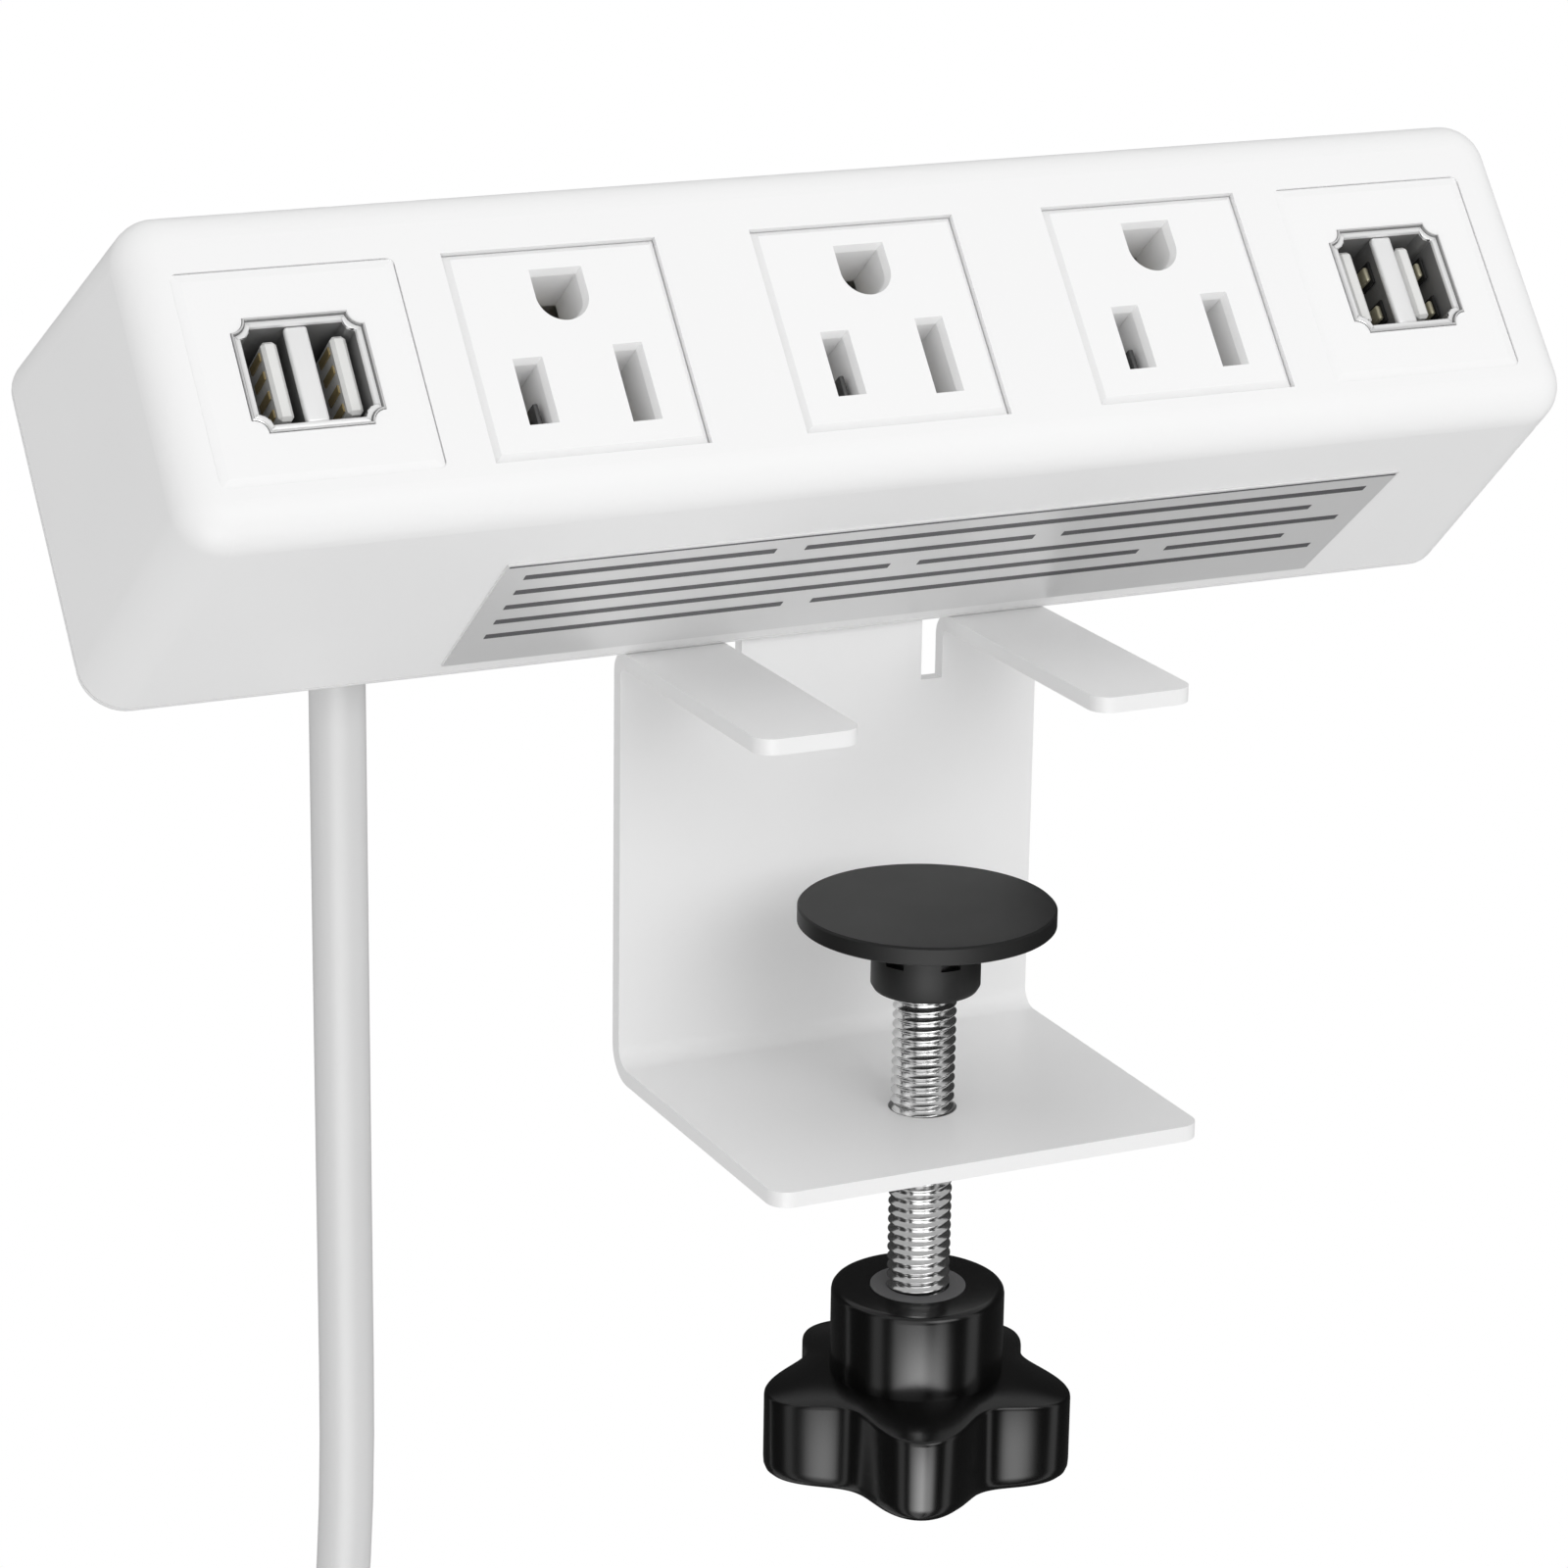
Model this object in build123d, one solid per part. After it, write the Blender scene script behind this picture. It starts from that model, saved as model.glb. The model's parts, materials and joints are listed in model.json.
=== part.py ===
from build123d import *
import math
import os

# Driving dimensions, in millimetres.
# Frame: the back of the desk edge. Z = 0 is the desk top, Y = 0 the face that meets the desk
# edge, X = 0 the middle of the bracket. The user sits on the -Y side.

# Housing, in its own frame: X along it, Y up its face, Z out of its face.
face_tilt = 39.0                # the outlet face looks this far above the horizontal
strip_at = (-6.5, -24.6, 46.8)  # middle of the row of modules, on the outlet face
face_outline = (-90.3, 92.0, -19.6, 21.9)    # left, right, low and high sides at the front
back_outline = (-92.2, 97.0, -20.3, 27.4)    # the same at the back: the sides are drafted
depth = 47.0
cover_line = 45.4               # depth of the joint between housing and cover
wall = 2.2
front_wall = 2.4
corner_radius = 5.6
front_radius = 4.8
cover_radius = 1.2
joint_groove = 0.25             # width and depth of the fine line round the joint

module = 27.0
outlet_pitch = 39.2
outlet_xs = [-outlet_pitch, 0.0, outlet_pitch]
usb_x = 72.0
rim = 0.85                      # chamfered rim of an outlet insert
slot_pitch = 12.7
slot_y = -4.9
slot_width = 3.7
lead_in = 0.4
lead_in_depth = 1.15
tunnel = 9.0                    # thickness of the insert that the slots run through
hot_slot, neutral_slot = 8.5, 10.0
ground_y = slot_y + 11.9
ground_width = 6.6
ground_top = 10.5

# Bracket, one bent sheet.
sheet = 2.0
bracket_width = 58.6
arm_width = 13.6
arm_reach = 41.1
throat = 52.9                   # arm underside to the top of the lower plate
lower_reach = 47.1
notch_depth = 6.4
notch_width = 3.0
bend_inside = 1.0
foot_bend_inside = 2.5
tongue_bend_inside = 2.0
screw_hole_radius = 4.3
plate_corner = 2.6
tongue_length = 29.0

# Clamp screw, M8 x 1.25, with its pad and knob.
screw_y = -27.9
screw_radius = 4.0
running_gap = 0.05
pad_top = -26.3
pad_radius = 16.1
pad_rim = 2.3
hub_radius = 6.85
hub_bottom = -37.0
tip_top = -28.8
neck_radius = 3.0
neck_low, neck_high = -34.0, -32.5
knob_top = -77.1
knob_hub_radius = 11.0
knob_hub_height = 11.2
star_radius = 17.5              # mean radius of the five-lobed wave
lobe_height = 2.7               # how far the lobes rise above it, and the hollows dip
star_height = 12.6
star_fall = 1.4                 # the top of the star slopes down to its rim
lobe_angle = 246.0
nut_height = 5.0

# Cord: 1.8 m, hanging from a sleeve in the rear cover.
cord = 7.1
cord_x = -62.3
cord_y = 12.0
sleeve_low, sleeve_high = 11.0, 25.0
relief_end = 0.3
cord_start = 26.0
hang_end = -128.0
coil_radius = 39.2
coil_middle = -204.0
tail_y = cord_y - 2 * cord
plug_top = -300.0

strip = Location(strip_at, (90 - face_tilt, 0, 0))
os.makedirs("parts", exist_ok=True)


def save(node, shape):
    export_step(shape, f"parts/{node}.step")


def box(x0, x1, y0, y1, z0, z1):
    middle = ((x0 + x1) / 2, (y0 + y1) / 2, (z0 + z1) / 2)
    return Pos(*middle) * Box(abs(x1 - x0), abs(y1 - y0), abs(z1 - z0))


def rod(radius, x, y, z0, z1):
    return Pos(x, y, (z0 + z1) / 2) * Cylinder(radius, abs(z1 - z0))


def sides(d):
    """Left, right, low and high sides of the housing at one depth."""
    return [front + (back - front) * d / depth for front, back in zip(face_outline, back_outline)]


def section(d, inset, radius):
    left, right, low, high = sides(d)
    face = RectangleRounded(right - left - 2 * inset, high - low - 2 * inset, radius)
    return Pos((left + right) / 2, (low + high) / 2, -d) * face


def prism(d0, d1, inset=0.0, radius=corner_radius):
    """The housing's outline, inset, between two depths."""
    return loft([section(d0, inset, radius), section(d1, inset, radius)])


def groove(d0, d1):
    """A tool that cuts a fine line into the housing's sides."""
    inside = prism(d0, d1, joint_groove, corner_radius - joint_groove)
    return prism(d0, d1, -1.0, corner_radius + 1.0) - inside


def edges_at(shape, d):
    return shape.edges().filter_by_position(Axis.Z, -d - 0.01, -d + 0.01)


def tube(points, radii, radius):
    path = FilletPolyline(*points, radius=radii) if len(points) > 2 else Line(*points)
    return sweep(Plane(origin=path @ 0, z_dir=path % 0) * Circle(radius), path=path)


# ---------------------------------------------------------------- housing and cover

cover_screw_at = [(-55.6, -15.4), (-19.6, 15.4), (55.6, 15.4), (55.6, -15.4)]
tongue_screw_at = [(-1.5, -8.0), (14.5, -8.0), (6.5, 6.0)]
boss_radius = 2.1


def front_housing():
    shell = prism(0, cover_line)
    shell = fillet(edges_at(shell, 0), front_radius)
    shell -= groove(cover_line - joint_groove / 2, cover_line + 0.1)
    shell -= prism(front_wall, cover_line, wall, corner_radius - wall)
    for x in outlet_xs:
        shell -= Pos(x, 0, -front_wall / 2) * Box(module, module, 2 * front_wall)
    for x in (-usb_x, usb_x):
        window = RectangleRounded(module, module, 1.0)
        shell -= Pos(x, 0, -front_wall / 2) * extrude(window, front_wall, both=True)
    for x, y in cover_screw_at:
        shell += rod(boss_radius, x, y, -front_wall, -cover_line + 2.3)
        shell -= rod(1.1, x, y, -20, -cover_line + 2.3)
    return strip * shell


def rear_cover():
    plate = prism(cover_line, depth)
    plate = fillet(edges_at(plate, depth), cover_radius)
    plate -= groove(cover_line - 0.1, cover_line + joint_groove / 2)
    lip = prism(cover_line - 2.0, cover_line, wall + 0.15, corner_radius - wall)
    lip -= prism(cover_line - 2.0, cover_line, wall + 1.8, 2.0)
    cover = plate + lip
    for x, y in cover_screw_at:
        cover += rod(boss_radius, x, y, -cover_line + 2.1, -cover_line)
        cover -= rod(1.55, x, y, -cover_line + 2.5, -depth)
        cover -= rod(2.9, x, y, -depth + 1.3, -depth)
    for x, y in tongue_screw_at:
        cover += rod(3.0, x, y, -cover_line + 4.6, -cover_line)
        cover -= rod(1.2, x, y, -cover_line + 3.8, -depth)
    cover = strip * cover
    cover += rod(7.6, cord_x, cord_y, sleeve_low, sleeve_high)
    cover -= rod(5.65, cord_x, cord_y, sleeve_low, sleeve_high)
    return cover - rod(6.6, cord_x, cord_y, sleeve_low - 4, sleeve_low)


def label_plate():
    ends = [Pos(12.4, sides(d)[2] - 0.15, -d) * Rectangle(121.4, 0.3) for d in (14.6, 42.6)]
    return strip * loft(ends)


# ---------------------------------------------------------------- outlets

def slot_shape(grow=0.0):
    slots = Pos(-slot_pitch / 2, slot_y) * Rectangle(slot_width + grow, hot_slot + grow)
    slots += Pos(slot_pitch / 2, slot_y) * Rectangle(slot_width + grow, neutral_slot + grow)
    slots += Pos(0, ground_y) * Circle((ground_width + grow) / 2)
    top = ground_top + grow / 2
    slots += Pos(0, (ground_y + top) / 2) * Rectangle(ground_width + grow, top - ground_y)
    return slots


def outlet_insert(x):
    size = module - 0.2
    body = Pos(0, 0, -2.0) * Box(size, size, 4.0)
    body = chamfer(body.faces().sort_by(Axis.Z)[-1].edges(), rim)
    body += Pos(0, 0, -3.3) * Box(module + 1.4, module + 1.4, 1.6)
    body += box(-12.7, 12.7, -12.7, 12.7, -4.1, -tunnel)
    skirt = box(-12.7, 12.7, -12.7, 12.7, -tunnel, -17.0)
    skirt -= box(-11.4, 11.4, -11.4, 11.4, -tunnel, -17.0)
    body += skirt + box(-11.4, 11.4, 1.3, 2.3, -tunnel, -15.0)
    taper = math.degrees(math.atan(lead_in / lead_in_depth))
    body -= extrude(slot_shape(), -lead_in_depth, taper=taper)
    body -= extrude(slot_shape(-2 * lead_in), -tunnel)
    return strip * Pos(x, 0, 0) * body


def contact_pair(x, y, width, back):
    """Two spring leaves that grip a blade, joined at the back by a foot."""
    leaves = [box(x + side * 0.9, x + side * 1.5, y - width / 2, y + width / 2, -9.4, back)
              for side in (-1, 1)]
    return leaves[0] + leaves[1] + box(x - 1.5, x + 1.5, y - width / 2, y + width / 2,
                                       back, back - 0.8)


def bus_bar(offset, y, width, back, bar_y):
    bar = box(-52.0, outlet_xs[-1] + offset + 4, bar_y - 1.6, bar_y + 1.6, back, back - 0.8)
    for x in outlet_xs:
        bar += contact_pair(x + offset, y, width, back)
        bar += box(x + offset - 1.5, x + offset + 1.5, min(y, bar_y), max(y, bar_y),
                   back, back - 0.8)
    return strip * bar


# ---------------------------------------------------------------- USB ports

usb_width, usb_height = 15.9, 14.3
port_width, port_height = 5.7, 12.5
port_step = 3.75


def usb_plate(x):
    size = module - 0.2
    body = Pos(0, 0, -2.0) * Box(size, size, 4.0)
    face = body.faces().sort_by(Axis.Z)[-1]
    body = chamfer(face.edges(), 1.1, 0.25, reference=face)
    body += Pos(0, 0, -3.3) * Box(module + 1.4, module + 1.4, 1.6)
    body -= Pos(0, 0, -2.0) * Box(usb_width + 0.2, usb_height + 0.2, 5.0)
    return strip * Pos(x, 0, 0) * body


def usb_shell(x):
    profile = Rectangle(usb_width, usb_height)
    for sx in (-1, 1):
        for sy in (-1, 1):
            profile -= Pos(sx * usb_width / 2, sy * usb_height / 2) * Circle(1.7)
    shell = extrude(profile, -14.0)
    for side in (-1, 1):
        shell -= Pos(side * port_step, 0, -6.0) * Box(port_width, port_height, 13.0)
    return strip * Pos(x, 0, 0.25) * shell


def usb_tongues(x, side):
    tongues = []
    for port in (-1, 1):
        near, far = port * port_step + side * 0.4, port * port_step + side * 2.3
        tongues.append(box(near, far, -5.0, 5.0, -1.6, -12.24))
    return strip * Pos(x, 0, 0) * Compound(children=tongues)


def usb_contacts(x, side):
    strips = []
    for port in (-1, 1):
        for row in (-3.6, -1.25, 1.25, 3.6):
            face = port * port_step + side * 0.4
            strips.append(box(face - side * 0.25, face, row - 0.55, row + 0.55, -2.4, -12.0))
    return strip * Pos(x, 0, 0) * Compound(children=strips)


def usb_board(x):
    return strip * box(x - 11, x + 11, -12.5, 12.5, -13.9, -15.5)


# ---------------------------------------------------------------- power supply

board_back = -30.0


def power_board():
    return strip * box(-48, 48, -11.5, 11.5, board_back, board_back + 1.6)


def transformer_core():
    core = box(12, 30, -9, 9, board_back, board_back - 8.0)
    core -= box(14.6, 18.6, -9, 9, board_back - 2.2, board_back - 5.8)
    core -= box(23.4, 27.4, -9, 9, board_back - 2.2, board_back - 5.8)
    return strip * core


def transformer_winding():
    winding = box(15.0, 27.0, -11.2, 11.2, board_back - 2.4, board_back - 5.6)
    winding -= box(18.5, 23.5, -9.1, 9.1, board_back, board_back - 9)
    return strip * winding


def capacitors():
    cans = [strip * Pos(x, y, board_back - r) * Rotation(0, 90, 0) * Cylinder(r, length)
            for x, y, r, length in ((-2, 5.2, 4.6, 17), (-2, -5.2, 4.6, 17), (39, 0, 4.0, 12))]
    return Compound(children=cans)


def board_chips():
    chips = [box(x - w / 2, x + w / 2, y - h / 2, y + h / 2, board_back, board_back - t)
             for x, y, w, h, t in ((-20, 5, 7, 5, 1.8), (-20, -5, 5, 4, 1.6), (-31, 0, 9, 8, 5.0),
                                   (39, 8, 6, 4, 1.6), (39, -8, 6, 4, 1.6))]
    return strip * Compound(children=chips)


def board_fuse():
    return strip * Pos(-41, 5, board_back - 2.6) * Rotation(90, 0, 0) * Cylinder(2.6, 9)


# ---------------------------------------------------------------- bracket and its screws

def bent(points, inside, width, x):
    path = FilletPolyline(*[(x, y, z) for y, z in points], radius=inside + sheet / 2)
    section = Plane(origin=path @ 0, x_dir=(1, 0, 0), z_dir=path % 0) * Rectangle(width, sheet)
    return sweep(section, path=path)


def clamp_bracket():
    mid = sheet / 2
    foot = -throat - mid
    body = bent([(mid, -notch_depth), (mid, foot), (-lower_reach, foot)], foot_bend_inside,
                bracket_width, 0)
    front = body.edges().filter_by(Axis.Z).sort_by(Axis.Y)[:2]
    body = fillet(front, plate_corner)
    for side in (-1, 1):
        arm = bent([(mid, -notch_depth - 0.5), (mid, mid), (-arm_reach, mid)], bend_inside,
                   arm_width, side * (bracket_width - arm_width) / 2)
        arm = fillet(arm.edges().filter_by(Axis.Z).sort_by(Axis.Y)[:2], plate_corner)
        body += arm
    lean = math.radians(face_tilt)
    back = (strip_at[1] + (depth + mid) * math.cos(lean),
            strip_at[2] - (depth + mid) * math.sin(lean))
    bend_z = back[1] - (back[0] - mid) / math.tan(lean)
    top = (mid + tongue_length * math.sin(lean), bend_z + tongue_length * math.cos(lean))
    tongue_width = bracket_width - 2 * arm_width - 2 * notch_width
    tongue = bent([(mid, -notch_depth - 0.5), (mid, bend_z), top], tongue_bend_inside,
                  tongue_width, 0)
    body += tongue
    for x, y in tongue_screw_at:
        body -= strip * rod(1.7, x, y, -depth, -depth - 6)
    body -= rod(screw_hole_radius, 0, screw_y, foot - 3, foot + 3)
    return body


def clamp_nut():
    top = -throat - sheet
    nut = rod(6.5, 0, screw_y, top, top - nut_height) + rod(8.5, 0, screw_y, top, top - 1.2)
    return nut - rod(screw_radius + running_gap, 0, screw_y, top, top - nut_height)


def pan_screw(x, y, seat, head_radius, head_height, shank_radius, length):
    """A screw driven from behind: its head stands on the plane Z = seat."""
    screw = rod(head_radius, x, y, seat, seat - head_height)
    screw += rod(shank_radius, x, y, seat, seat + length)
    screw -= box(x - head_radius * 0.55, x + head_radius * 0.55, y - 0.3, y + 0.3,
                 seat - head_height, seat - head_height + 0.7)
    screw -= box(x - 0.3, x + 0.3, y - head_radius * 0.55, y + head_radius * 0.55,
                 seat - head_height, seat - head_height + 0.7)
    return screw


def cover_screws():
    return strip * Compound(children=[pan_screw(x, y, -depth + 1.3, 2.7, 1.2, 1.1, 12.0)
                                      for x, y in cover_screw_at])


def bracket_screws():
    return strip * Compound(children=[pan_screw(x, y, -depth - sheet, 3.2, 1.8, 1.2, 7.0)
                                      for x, y in tongue_screw_at])


# ---------------------------------------------------------------- clamp screw, pad and knob

def clamp_screw():
    end = knob_top - knob_hub_height - star_height + 3.0
    screw = rod(screw_radius, 0, screw_y, tip_top, end)
    ring = rod(screw_radius + 1, 0, screw_y, neck_low, neck_high)
    screw -= ring - rod(neck_radius, 0, screw_y, neck_low, neck_high)
    return chamfer(screw.edges().filter_by(GeomType.CIRCLE).sort_by(Axis.Z)[-1], 0.8)


def swivel_clip():
    ring = rod(5.3, 0, screw_y, neck_low + 0.15, neck_high - 0.15)
    return ring - rod(neck_radius + running_gap, 0, screw_y, neck_low, neck_high)


def pad_disc():
    pad = rod(pad_radius, 0, screw_y, pad_top, pad_top - pad_rim)
    pad += rod(hub_radius, 0, screw_y, pad_top - pad_rim, hub_bottom)
    pad -= rod(screw_radius + 0.25, 0, screw_y, tip_top + 0.2, hub_bottom)
    pad -= rod(5.3 + running_gap, 0, screw_y, neck_low, neck_high)
    for angle in range(30, 360, 60):
        pocket = Pos(0, screw_y, 0) * Rotation(0, 0, angle) * Pos(hub_radius, 0, pad_top - pad_rim
                                                                 - 2.0) * Box(1.6, 1.6, 4.0)
        pad -= pocket
    return pad


def star_outline():
    """One closed wave with five lobes, the first on the X axis."""
    points = []
    for k in range(60):
        angle = math.radians(6 * k)
        reach = star_radius + lobe_height * math.cos(5 * angle)
        points.append((reach * math.cos(angle), reach * math.sin(angle)))
    return make_face(Spline(*points, periodic=True))


def star_knob():
    low = knob_top - knob_hub_height
    flat_radius = knob_hub_radius + 0.5
    rim_radius = star_radius + lobe_height + 2
    fall = star_fall * (rim_radius - flat_radius) / (star_radius + lobe_height - flat_radius)
    envelope = Pos(0, 0, -fall / 2) * Cone(rim_radius, flat_radius, fall)
    envelope += Pos(0, 0, -fall - 10) * Cylinder(rim_radius, 20)
    star = extrude(star_outline(), -star_height) & envelope
    ends = star.faces().sort_by(Axis.Z)
    star = fillet(ends[0].edges(), 1.3)
    star = Pos(0, screw_y, low) * Rotation(0, 0, lobe_angle) * star
    knob = star + rod(knob_hub_radius, 0, screw_y, low - 1, knob_top)
    top_edges = knob.edges().filter_by_position(Axis.Z, knob_top - 0.01, knob_top + 0.01)
    knob = fillet(top_edges, 0.9)
    knob -= rod(6.05, 0, screw_y, knob_top - 9.0, knob_top)
    knob -= rod(screw_radius, 0, screw_y, low - star_height + 3.0, knob_top)
    return knob


def knob_insert():
    ring = rod(6.05, 0, screw_y, knob_top - 9.0, knob_top + 0.05)
    return ring - rod(screw_radius, 0, screw_y, knob_top - 9.0, knob_top + 0.05)


# ---------------------------------------------------------------- cord, coil and plug

def strain_relief():
    body = rod(5.6, cord_x, cord_y, sleeve_high, sleeve_low)
    body += rod(6.4, cord_x, cord_y, sleeve_low, sleeve_low - 1.2)
    taper = sleeve_low - 1.2 - relief_end
    body += Pos(cord_x, cord_y, relief_end + taper / 2) * Cone(4.2, 5.2, taper)
    return body - rod(cord / 2, cord_x, cord_y, relief_end, sleeve_high)


def hanging_cord():
    """The cord from inside the housing to the coil: straight, then bending into the coil."""
    points = [(cord_x, cord_y, cord_start), (cord_x, cord_y, hang_end),
              (cord_x - 6.5, cord_y, hang_end - 24), (cord_x - 22, cord_y, hang_end - 42)]
    radii = arc_radii(points)
    print("cord radii", [round(r, 1) for r in radii])
    body = tube(points, radii, cord / 2)
    length = FilletPolyline(*points, radius=radii).length
    print("cord volume over section times length",
          round(body.volume / (math.pi * cord ** 2 / 4 * length), 4))
    return body


def cord_tail():
    """The cord from the coil down to the plug."""
    low = coil_middle - 34
    points = [(cord_x - 21, tail_y, low), (cord_x - 6.5, tail_y, low - 18),
              (cord_x, tail_y, low - 42), (cord_x, tail_y, plug_top - 2)]
    radii = arc_radii(points)
    print("tail radii", [round(r, 1) for r in radii])
    return tube(points, radii, cord / 2)


def arc_radii(points):
    radii = []
    for a, b, c in zip(points, points[1:], points[2:]):
        into, out = Vector(*b) - Vector(*a), Vector(*c) - Vector(*b)
        half_turn = math.radians(into.get_angle(out)) / 2
        radii.append(0.45 * min(into.length, out.length) / math.tan(half_turn))
    return radii


def cord_coil():
    """The outer shape of the tied coil: a ring two cords thick and four wide."""
    section = Pos(coil_radius, -cord / 2) * RectangleRounded(2.05 * cord, 4.1 * cord, 3.5)
    ring = revolve(section, Axis.Y)
    return Pos(cord_x, cord_y, coil_middle) * ring


def cord_tie():
    thick, wide = 2.05 * cord + 1.8, 4.1 * cord + 1.8
    band = Box(thick + 2.4, wide + 2.4, 14) - Box(thick, wide, 14)
    return Pos(cord_x - coil_radius, cord_y - cord / 2, coil_middle) * band


def plug_body():
    low = plug_top - 42
    lower = Plane.XY.offset(low) * RectangleRounded(24, 27, 4)
    grip = Plane.XY.offset(low + 24) * RectangleRounded(21, 23, 5)
    neck = Plane.XY.offset(plug_top - 8) * RectangleRounded(13, 13, 5)
    body = loft([lower, grip]) + loft([grip, neck])
    body += Pos(0, 0, plug_top - 4) * Cone(5.4, 4.6, 8)
    body = Pos(cord_x, tail_y, 0) * Pos(0, 2.5, 0) * body
    body -= plug_blades() + plug_ground_pin()
    return body - rod(cord / 2, cord_x, tail_y, plug_top - 2, plug_top)


def plug_blades():
    low = plug_top - 42
    blades = [box(cord_x + side * 6.35 - 0.75, cord_x + side * 6.35 + 0.75, tail_y - 6.1,
                  tail_y + 0.25, low - 17.5, low + 6) for side in (-1, 1)]
    return Compound(children=blades)


def plug_ground_pin():
    low = plug_top - 42
    pin = rod(2.4, cord_x, tail_y - 2.9 + 11.9, low - 21, low + 6)
    return chamfer(pin.edges().sort_by(Axis.Z)[0], 1.0)


# ---------------------------------------------------------------- inner leads

def in_strip(x, y, z):
    return tuple((strip * Pos(x, y, z)).position)


def soft_bends(points, largest):
    return [min(r, largest) for r in arc_radii(points)]


def inner_lead(turn, bend, bar_y, bar_back):
    """One insulated core, from the end of the cord's jacket to the end of its bus bar."""
    x = cord_x + 1.9 * math.cos(math.radians(turn))
    y = cord_y + 1.9 * math.sin(math.radians(turn))
    points = [(x, y, cord_start), (x, y, cord_start + 5), in_strip(*bend),
              in_strip(-50.3, bar_y, -26), in_strip(-50.3, bar_y, bar_back)]
    return tube(points, soft_bends(points, 6.0), 1.1)


def usb_leads():
    leads = []
    for side in (-1, 1):
        for row in (-6.6, -3.4):
            route = [(46.5, board_back + 1.6), (46.5, -25.0), (59.0, -25.0), (62.5, -15.7)]
            points = [in_strip(side * x, row, z) for x, z in route]
            leads.append(tube(points, soft_bends(points, 2.0), 0.8))
    return Compound(children=leads)


save("front_housing", front_housing())
save("rear_cover", rear_cover())
save("label_plate", label_plate())
for number, x in enumerate(outlet_xs, 1):
    save(f"outlet_insert_{number}", outlet_insert(x))
save("line_bus_bar", bus_bar(-slot_pitch / 2, slot_y, 6.0, -17.6, -11.2))
save("neutral_bus_bar", bus_bar(slot_pitch / 2, slot_y, 6.0, -17.6, 1.0))
save("earth_bus_bar", bus_bar(0, ground_y, 5.0, -19.6, 11.0))
for name, x, side in (("left", -usb_x, 1), ("right", usb_x, -1)):
    save(f"usb_plate_{name}", usb_plate(x))
    save(f"usb_shell_{name}", usb_shell(x))
    save(f"usb_tongues_{name}", usb_tongues(x, side))
    save(f"usb_contacts_{name}", usb_contacts(x, side))
    save(f"usb_board_{name}", usb_board(x))
save("power_board", power_board())
save("transformer_core", transformer_core())
save("transformer_winding", transformer_winding())
save("capacitors", capacitors())
save("board_chips", board_chips())
save("board_fuse", board_fuse())
save("cover_screws", cover_screws())
save("bracket_screws", bracket_screws())
save("clamp_bracket", clamp_bracket())
save("clamp_nut", clamp_nut())
save("clamp_screw", clamp_screw())
save("swivel_clip", swivel_clip())
save("pad_disc", pad_disc())
save("star_knob", star_knob())
save("knob_insert", knob_insert())
save("strain_relief", strain_relief())
save("power_cord", hanging_cord())
save("cord_tail", cord_tail())
save("cord_coil", cord_coil())
save("cord_tie", cord_tie())
save("plug_body", plug_body())
save("plug_blades", plug_blades())
save("plug_ground_pin", plug_ground_pin())
save("line_lead", inner_lead(210, (-55.5, -3.0, -33.0), -11.2, -18.4))
save("neutral_lead", inner_lead(330, (-53.0, 5.0, -34.0), 1.0, -18.4))
save("earth_lead", inner_lead(90, (-54.0, 13.0, -33.0), 11.0, -20.4))
save("usb_leads", usb_leads())
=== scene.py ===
import bpy
import bmesh
import json
import math
from mathutils import Matrix, Vector


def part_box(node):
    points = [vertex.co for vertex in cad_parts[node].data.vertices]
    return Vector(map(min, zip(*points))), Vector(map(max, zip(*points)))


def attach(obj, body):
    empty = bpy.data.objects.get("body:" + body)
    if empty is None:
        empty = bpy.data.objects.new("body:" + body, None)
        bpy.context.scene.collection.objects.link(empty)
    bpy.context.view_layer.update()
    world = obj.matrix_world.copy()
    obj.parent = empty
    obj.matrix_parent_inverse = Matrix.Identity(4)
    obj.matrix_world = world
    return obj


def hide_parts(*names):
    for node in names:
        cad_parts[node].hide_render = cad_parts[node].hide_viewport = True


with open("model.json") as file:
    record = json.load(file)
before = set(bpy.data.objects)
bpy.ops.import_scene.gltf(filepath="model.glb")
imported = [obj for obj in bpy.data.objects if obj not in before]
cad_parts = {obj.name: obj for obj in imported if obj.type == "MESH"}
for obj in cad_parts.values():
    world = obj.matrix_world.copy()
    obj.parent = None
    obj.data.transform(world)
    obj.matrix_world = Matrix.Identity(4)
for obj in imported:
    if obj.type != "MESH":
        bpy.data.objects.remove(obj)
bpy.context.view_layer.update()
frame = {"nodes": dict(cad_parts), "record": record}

nodes = frame["nodes"]
mounts = {m["name"]: m for m in frame["record"]["mounts"]}
scene = bpy.context.scene
mm = 0.001

# Housing frame: X along the housing, Y up its outlet face, Z out of the face.
faceAt = Vector(mounts["outlet_2"]["pos_m"])
faceNormal = Vector(mounts["outlet_2"]["axis"]).normalized()
faceUp = faceNormal.cross(Vector((1, 0, 0))).normalized()
housing = Matrix((
    (1, faceUp.x, faceNormal.x, faceAt.x),
    (0, faceUp.y, faceNormal.y, faceAt.y),
    (0, faceUp.z, faceNormal.z, faceAt.z),
    (0, 0, 0, 1),
))


# Camera

camera = bpy.data.objects.new("camera", bpy.data.cameras.new("camera"))
scene.collection.objects.link(camera)
cameraAt = Vector((-0.25877, -0.52810, 0.16803))
right, up, ahead = (Vector((0.90428, -0.42668, 0.01480)), Vector((0.11657, 0.28011, 0.95286)),
                    Vector((0.41072, 0.85993, -0.30304)))
camera.matrix_world = Matrix((
    (right.x, up.x, -ahead.x, cameraAt.x),
    (right.y, up.y, -ahead.y, cameraAt.y),
    (right.z, up.z, -ahead.z, cameraAt.z),
    (0, 0, 0, 1),
))
camera.data.sensor_width = 36
camera.data.lens = 110.714
camera.data.clip_start = 0.01
scene.camera = camera


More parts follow.
